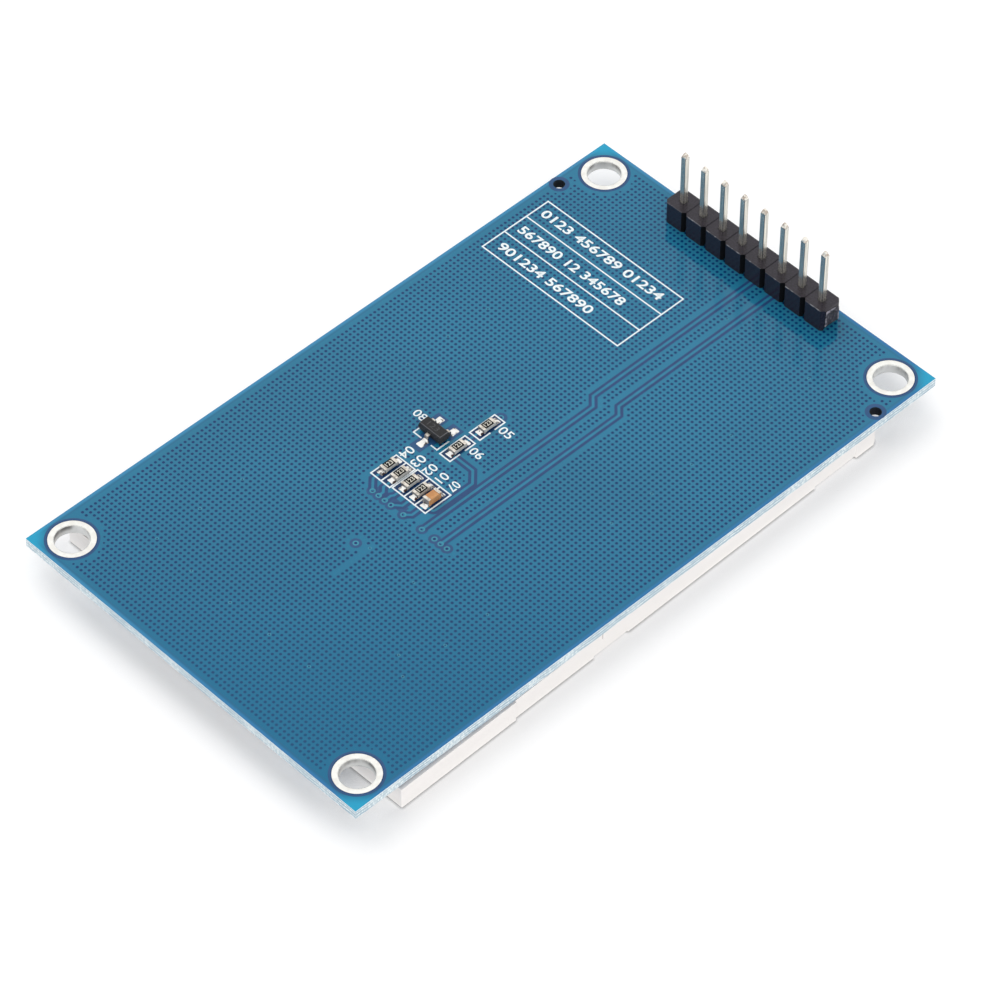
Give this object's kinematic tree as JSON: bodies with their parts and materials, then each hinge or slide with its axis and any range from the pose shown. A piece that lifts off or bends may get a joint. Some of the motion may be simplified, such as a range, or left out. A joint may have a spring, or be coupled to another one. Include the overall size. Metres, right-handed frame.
{
  "type": "tft display module",
  "caption": "Small colour TFT display module lying on its screen: backlit panel taped under a blue circuit board with chip parts and an upright pin header.",
  "frame": {"origin": "on the display face's plane, under the middle of the circuit board", "axes": "+X across the board, +Y along the board towards the pin header, +Z from the display face up through the board"},
  "size_m": [0.0433, 0.0722, 0.0126],
  "materials": {
    "solder_mask": "glossy blue solder mask over a copper grid on glass-epoxy board, pale green-grey at the cut edges",
    "tinned_copper": "tin-finished copper land and hole wall, bright and slightly uneven",
    "header_plastic": "satin black moulded plastic, rough where the strip was snapped off",
    "plated_pin": "square wire with bright tin plating, drawn along its length",
    "solder": "bright reflowed solder",
    "resistor_coat": "black glazed overcoat with plain pale figures",
    "tin_plate": "tin-plated end caps and leads",
    "white_ceramic": "white alumina",
    "tan_ceramic": "tan capacitor ceramic",
    "moulded_epoxy": "black moulding compound, fine matt grain",
    "foam_tape": "thin double-sided foam tape",
    "white_frame": "white moulded plastic, satin, with moulding steps along the sides",
    "led_case": "white LED case with a yellow-tinted window",
    "reflector_film": "silvery white reflector film",
    "clear_acrylic": "clear acrylic light guide",
    "diffusing_film": "hazy polyester film",
    "black_tape": "thin black tape",
    "polariser": "dark glossy polarising film",
    "panel_glass": "thin display glass with a green-grey edge",
    "bare_silicon": "bare driver chip, mirror grey",
    "polyimide_flex": "amber polyimide flex with copper lines"
  },
  "bodies": {
    "root": {"board": "solder_mask", "hole_platings": "tinned_copper", "header_housing": "header_plastic", "header_pin_1": "plated_pin", "header_pin_2": "plated_pin", "header_pin_3": "plated_pin", "header_pin_4": "plated_pin", "header_pin_5": "plated_pin", "header_pin_6": "plated_pin", "header_pin_7": "plated_pin", "header_pin_8": "plated_pin", "header_joints": "solder", "resistor_1": "white_ceramic", "resistor_2": "white_ceramic", "resistor_3": "white_ceramic", "resistor_4": "white_ceramic", "resistor_5": "white_ceramic", "resistor_6": "white_ceramic", "resistor_coat_1": "resistor_coat", "resistor_coat_2": "resistor_coat", "resistor_coat_3": "resistor_coat", "resistor_coat_4": "resistor_coat", "resistor_coat_5": "resistor_coat", "resistor_coat_6": "resistor_coat", "resistor_caps_1": "tin_plate", "resistor_caps_2": "tin_plate", "resistor_caps_3": "tin_plate", "resistor_caps_4": "tin_plate", "resistor_caps_5": "tin_plate", "resistor_caps_6": "tin_plate", "capacitor": "tan_ceramic", "capacitor_caps": "tin_plate", "regulator": "moulded_epoxy", "regulator_leads": "tin_plate", "chip_joints": "solder", "tape_left": "foam_tape", "tape_right": "foam_tape", "backlight_frame": "white_frame", "reflector": "reflector_film", "light_guide": "clear_acrylic", "diffuser": "diffusing_film", "prism_film_lower": "diffusing_film", "prism_film_upper": "diffusing_film", "rim_tape": "black_tape", "led_strip": "polyimide_flex", "led_1": "led_case", "led_2": "led_case", "led_3": "led_case", "led_4": "led_case", "rear_polariser": "polariser", "array_glass": "panel_glass", "colour_glass": "panel_glass", "front_polariser": "polariser", "driver_chip": "bare_silicon", "flex_tail": "polyimide_flex", "tail_joints": "solder"}
  },
  "joints": []
}
